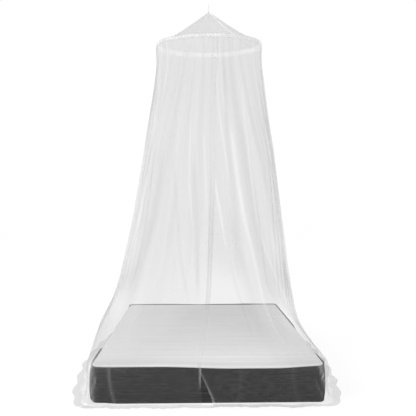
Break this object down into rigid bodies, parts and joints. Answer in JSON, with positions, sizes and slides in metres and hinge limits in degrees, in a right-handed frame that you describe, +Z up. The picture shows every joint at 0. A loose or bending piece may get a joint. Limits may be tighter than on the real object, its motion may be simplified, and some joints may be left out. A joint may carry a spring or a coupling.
{
  "type": "mosquito net canopy over a double mattress",
  "caption": "Sheer round-hooped net canopy hung from a loop, flaring down over a double mattress to the floor, with a lapped slit at the front.",
  "frame": {"origin": "On the floor at the middle of the mattress's underside, which is the mount named floor_rest.", "axes": "+Z is up, from the floor to the hanging loop. -Y is the front, where the net's slit is. +X is the right-hand side seen from the front."},
  "size_m": [1.8164, 2.1862, 2.7218],
  "materials": {
    "netting": "sheer knitted net",
    "webbing": "woven tape and cord",
    "rod": "satin",
    "border": "dark knitted cloth",
    "pad": "pale ribbed knit"
  },
  "bodies": {
    "root": {"skirt": "netting", "crown": "netting", "casing": "netting", "hoop": "rod", "tape_1": "webbing", "tape_2": "webbing", "tape_3": "webbing", "tape_4": "webbing", "hanging_loop": "webbing", "mattress_border": "border", "mattress_pad": "pad"}
  },
  "joints": []
}
